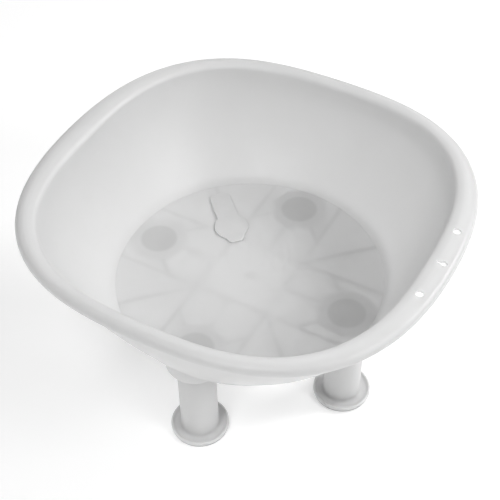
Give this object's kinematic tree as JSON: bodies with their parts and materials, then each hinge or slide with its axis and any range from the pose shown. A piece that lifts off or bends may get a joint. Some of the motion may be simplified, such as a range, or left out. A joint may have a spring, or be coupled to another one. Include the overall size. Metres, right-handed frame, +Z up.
{
  "type": "raised pet bathtub",
  "caption": "Raised pet bathtub: bellied plastic bowl with a rolled rounded-square rim, push-in flanged legs, hanging holes and a strap-held drain plug.",
  "frame": {"origin": "on the ground under the middle of the tub's round floor", "axes": "+Z up, +X towards the side of the rim with the hanging holes, +Y to the back"},
  "size_m": [0.549, 0.525, 0.3155],
  "materials": {
    "tub_plastic": "satin moulded polypropylene, whitish and slightly translucent",
    "leg_plastic": "satin moulded polypropylene, whitish",
    "plug_silicone": "soft matt translucent silicone",
    "foot_rubber": "matt grey rubber"
  },
  "bodies": {
    "tub": {"tub_shell": "tub_plastic", "floor_ribs": "tub_plastic", "drain_spout": "tub_plastic", "plug_anchor": "plug_silicone", "socket_right": "tub_plastic", "socket_back": "tub_plastic", "socket_left": "tub_plastic", "socket_front": "tub_plastic"},
    "plug": {"drain_plug": "plug_silicone"},
    "right_leg": {"leg_right": "leg_plastic", "foot_pad_right": "foot_rubber"},
    "back_leg": {"leg_back": "leg_plastic", "foot_pad_back": "foot_rubber"},
    "left_leg": {"leg_left": "leg_plastic", "foot_pad_left": "foot_rubber"},
    "front_leg": {"leg_front": "leg_plastic", "foot_pad_front": "foot_rubber"}
  },
  "joints": [
    {"name": "plug_lift", "type": "hinge", "parent": "tub", "child": "plug", "pos_m": [-0.09405, 0.09405, 0.1643], "axis": [-0.7071, -0.7071, 0], "range_deg": [0, 100]},
    {"name": "right_leg_pull", "type": "slide", "parent": "tub", "child": "right_leg", "axis": [0, 0, -1], "range_m": [0, 0.03]},
    {"name": "back_leg_pull", "type": "slide", "parent": "tub", "child": "back_leg", "axis": [0, 0, -1], "range_m": [0, 0.03]},
    {"name": "left_leg_pull", "type": "slide", "parent": "tub", "child": "left_leg", "axis": [0, 0, -1], "range_m": [0, 0.03]},
    {"name": "front_leg_pull", "type": "slide", "parent": "tub", "child": "front_leg", "axis": [0, 0, -1], "range_m": [0, 0.03]}
  ]
}
